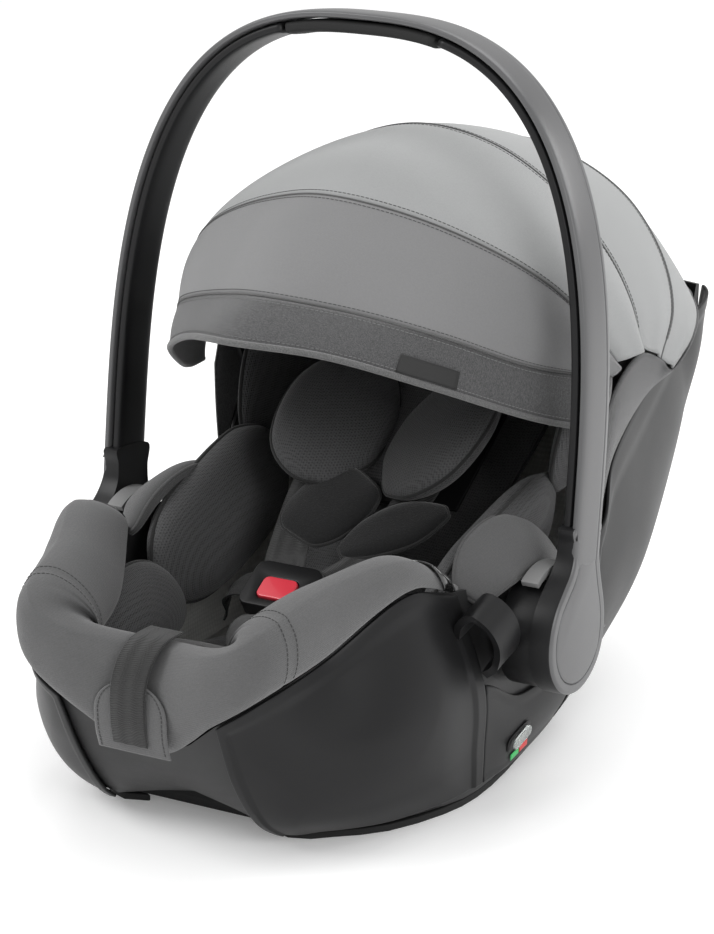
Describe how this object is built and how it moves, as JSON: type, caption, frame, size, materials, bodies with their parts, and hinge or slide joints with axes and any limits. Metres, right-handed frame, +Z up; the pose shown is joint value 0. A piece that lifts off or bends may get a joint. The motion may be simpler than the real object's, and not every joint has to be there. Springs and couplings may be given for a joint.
{
  "type": "infant car seat",
  "caption": "Rear-facing infant carrier seat: padded shell with harness, swivelling carry handle, fold-back canopy and sliding headrest.",
  "frame": {"origin": "middle of the footprint box on the floor", "axes": "+X to the child's left side, +Y towards the head end, +Z up; the foot end is at -Y"},
  "size_m": [0.4302, 0.6833, 0.5712],
  "materials": {
    "shell_plastic": "moulded, fine grain",
    "cover_plastic": "satin",
    "black_plastic": "satin",
    "gloss_trim": "gloss",
    "rubber": "matt",
    "steel": "zinc plated",
    "handle_skin": "satin",
    "button_grey": "satin",
    "window": "clear",
    "foam": "bead foam",
    "jersey_grey": "jersey",
    "mesh_dark": "spacer mesh",
    "melange_black": "melange",
    "webbing": "woven",
    "canopy_light": "plain weave",
    "canopy_dark": "plain weave",
    "red_plastic": "satin"
  },
  "bodies": {
    "carrier": {"base_shell": "shell_plastic", "wing_cover_right": "cover_plastic", "wing_cover_left": "cover_plastic", "side_cover_right": "cover_plastic", "side_cover_left": "cover_plastic", "rear_cover_right": "cover_plastic", "rear_cover_left": "cover_plastic", "back_panel": "shell_plastic", "runner_right": "rubber", "runner_left": "rubber", "latch_bars": "steel", "level_window": "window", "energy_liner": "foam", "hub_drum_right": "black_plastic", "hub_drum_left": "black_plastic", "pivot_pins": "steel", "belt_hook_right": "black_plastic", "belt_hook_left": "black_plastic", "rim_trim_right": "gloss_trim", "rim_trim_left": "gloss_trim", "adapter_pads": "black_plastic", "foot_cushion": "jersey_grey", "adjuster_patch": "jersey_grey", "adjuster_strap": "webbing", "seat_cushion": "mesh_dark", "leg_roll": "jersey_grey", "thigh_wing_right": "mesh_dark", "thigh_wing_left": "mesh_dark", "bolster_right": "mesh_dark", "bolster_left": "mesh_dark", "side_pad_right": "jersey_grey", "side_pad_left": "jersey_grey", "backrest_pad": "mesh_dark", "head_wall_right": "mesh_dark", "head_wall_left": "mesh_dark", "harness_webbing": "webbing", "canopy_studs": "black_plastic", "chest_pad_right": "melange_black", "chest_pad_left": "melange_black", "crotch_pad": "jersey_grey", "buckle_body": "black_plastic", "canopy_rear_cloth": "canopy_light", "canopy_crown_cloth": "canopy_light", "cover_screws": "steel"},
    "handle": {"handle_bow": "handle_skin", "handle_liner": "black_plastic", "handle_grip": "rubber", "hub_caps": "handle_skin"},
    "release_right": {"release_button_right": "button_grey"},
    "release_left": {"release_button_left": "button_grey"},
    "headrest": {"headrest_shell": "black_plastic", "headrest_pad": "mesh_dark"},
    "canopy_back": {"canopy_bow_back": "black_plastic", "canopy_top_cloth": "canopy_light"},
    "canopy_middle": {"canopy_bow_middle": "black_plastic", "canopy_front_cloth": "canopy_dark"},
    "canopy_front": {"canopy_bow_front": "black_plastic", "visor_band": "melange_black"},
    "buckle_press": {"buckle_button": "red_plastic"},
    "adjuster_press": {"adjuster_button": "black_plastic"}
  },
  "joints": [
    {"name": "handle_swing", "type": "hinge", "parent": "carrier", "child": "handle", "pos_m": [0, -0.05445, 0.125], "axis": [-1, 0, 0], "range_deg": [-105, 0]},
    {"name": "release_right_press", "type": "slide", "parent": "carrier", "child": "release_right", "axis": [0, 0.0698, -0.9976], "range_m": [0, 0.005], "stiffness_N_per_m": 600, "springref_m": -0.001},
    {"name": "release_left_press", "type": "slide", "parent": "carrier", "child": "release_left", "axis": [0, 0.0698, -0.9976], "range_m": [0, 0.005], "stiffness_N_per_m": 600, "springref_m": -0.001},
    {"name": "headrest_slide", "type": "slide", "parent": "carrier", "child": "headrest", "axis": [0, 0.824, 0.5665], "range_m": [0, 0.06]},
    {"name": "canopy_back_fold", "type": "hinge", "parent": "carrier", "child": "canopy_back", "pos_m": [0, 0.06555, 0.29], "axis": [-1, 0, 0], "range_deg": [0, 30], "deforming": ["canopy_top_cloth", "canopy_crown_cloth"]},
    {"name": "canopy_middle_fold", "type": "hinge", "parent": "canopy_back", "child": "canopy_middle", "pos_m": [0, 0.06555, 0.29], "axis": [-1, 0, 0], "range_deg": [0, 41], "deforming": ["canopy_front_cloth"]},
    {"name": "canopy_front_fold", "type": "hinge", "parent": "canopy_middle", "child": "canopy_front", "pos_m": [0, 0.06555, 0.29], "axis": [-1, 0, 0], "range_deg": [0, 17]},
    {"name": "buckle_press_in", "type": "slide", "parent": "carrier", "child": "buckle_press", "axis": [0, 0.5299, -0.848], "range_m": [0, 0.004], "stiffness_N_per_m": 900, "springref_m": -0.001},
    {"name": "adjuster_press_in", "type": "slide", "parent": "carrier", "child": "adjuster_press", "axis": [0, 0, -1], "range_m": [0, 0.003], "stiffness_N_per_m": 700, "springref_m": -0.001}
  ],
  "couplings": [
    {"joint": "canopy_middle_fold", "follows": "canopy_back_fold", "ratio": 1.34},
    {"joint": "canopy_front_fold", "follows": "canopy_back_fold", "ratio": 0.56}
  ]
}
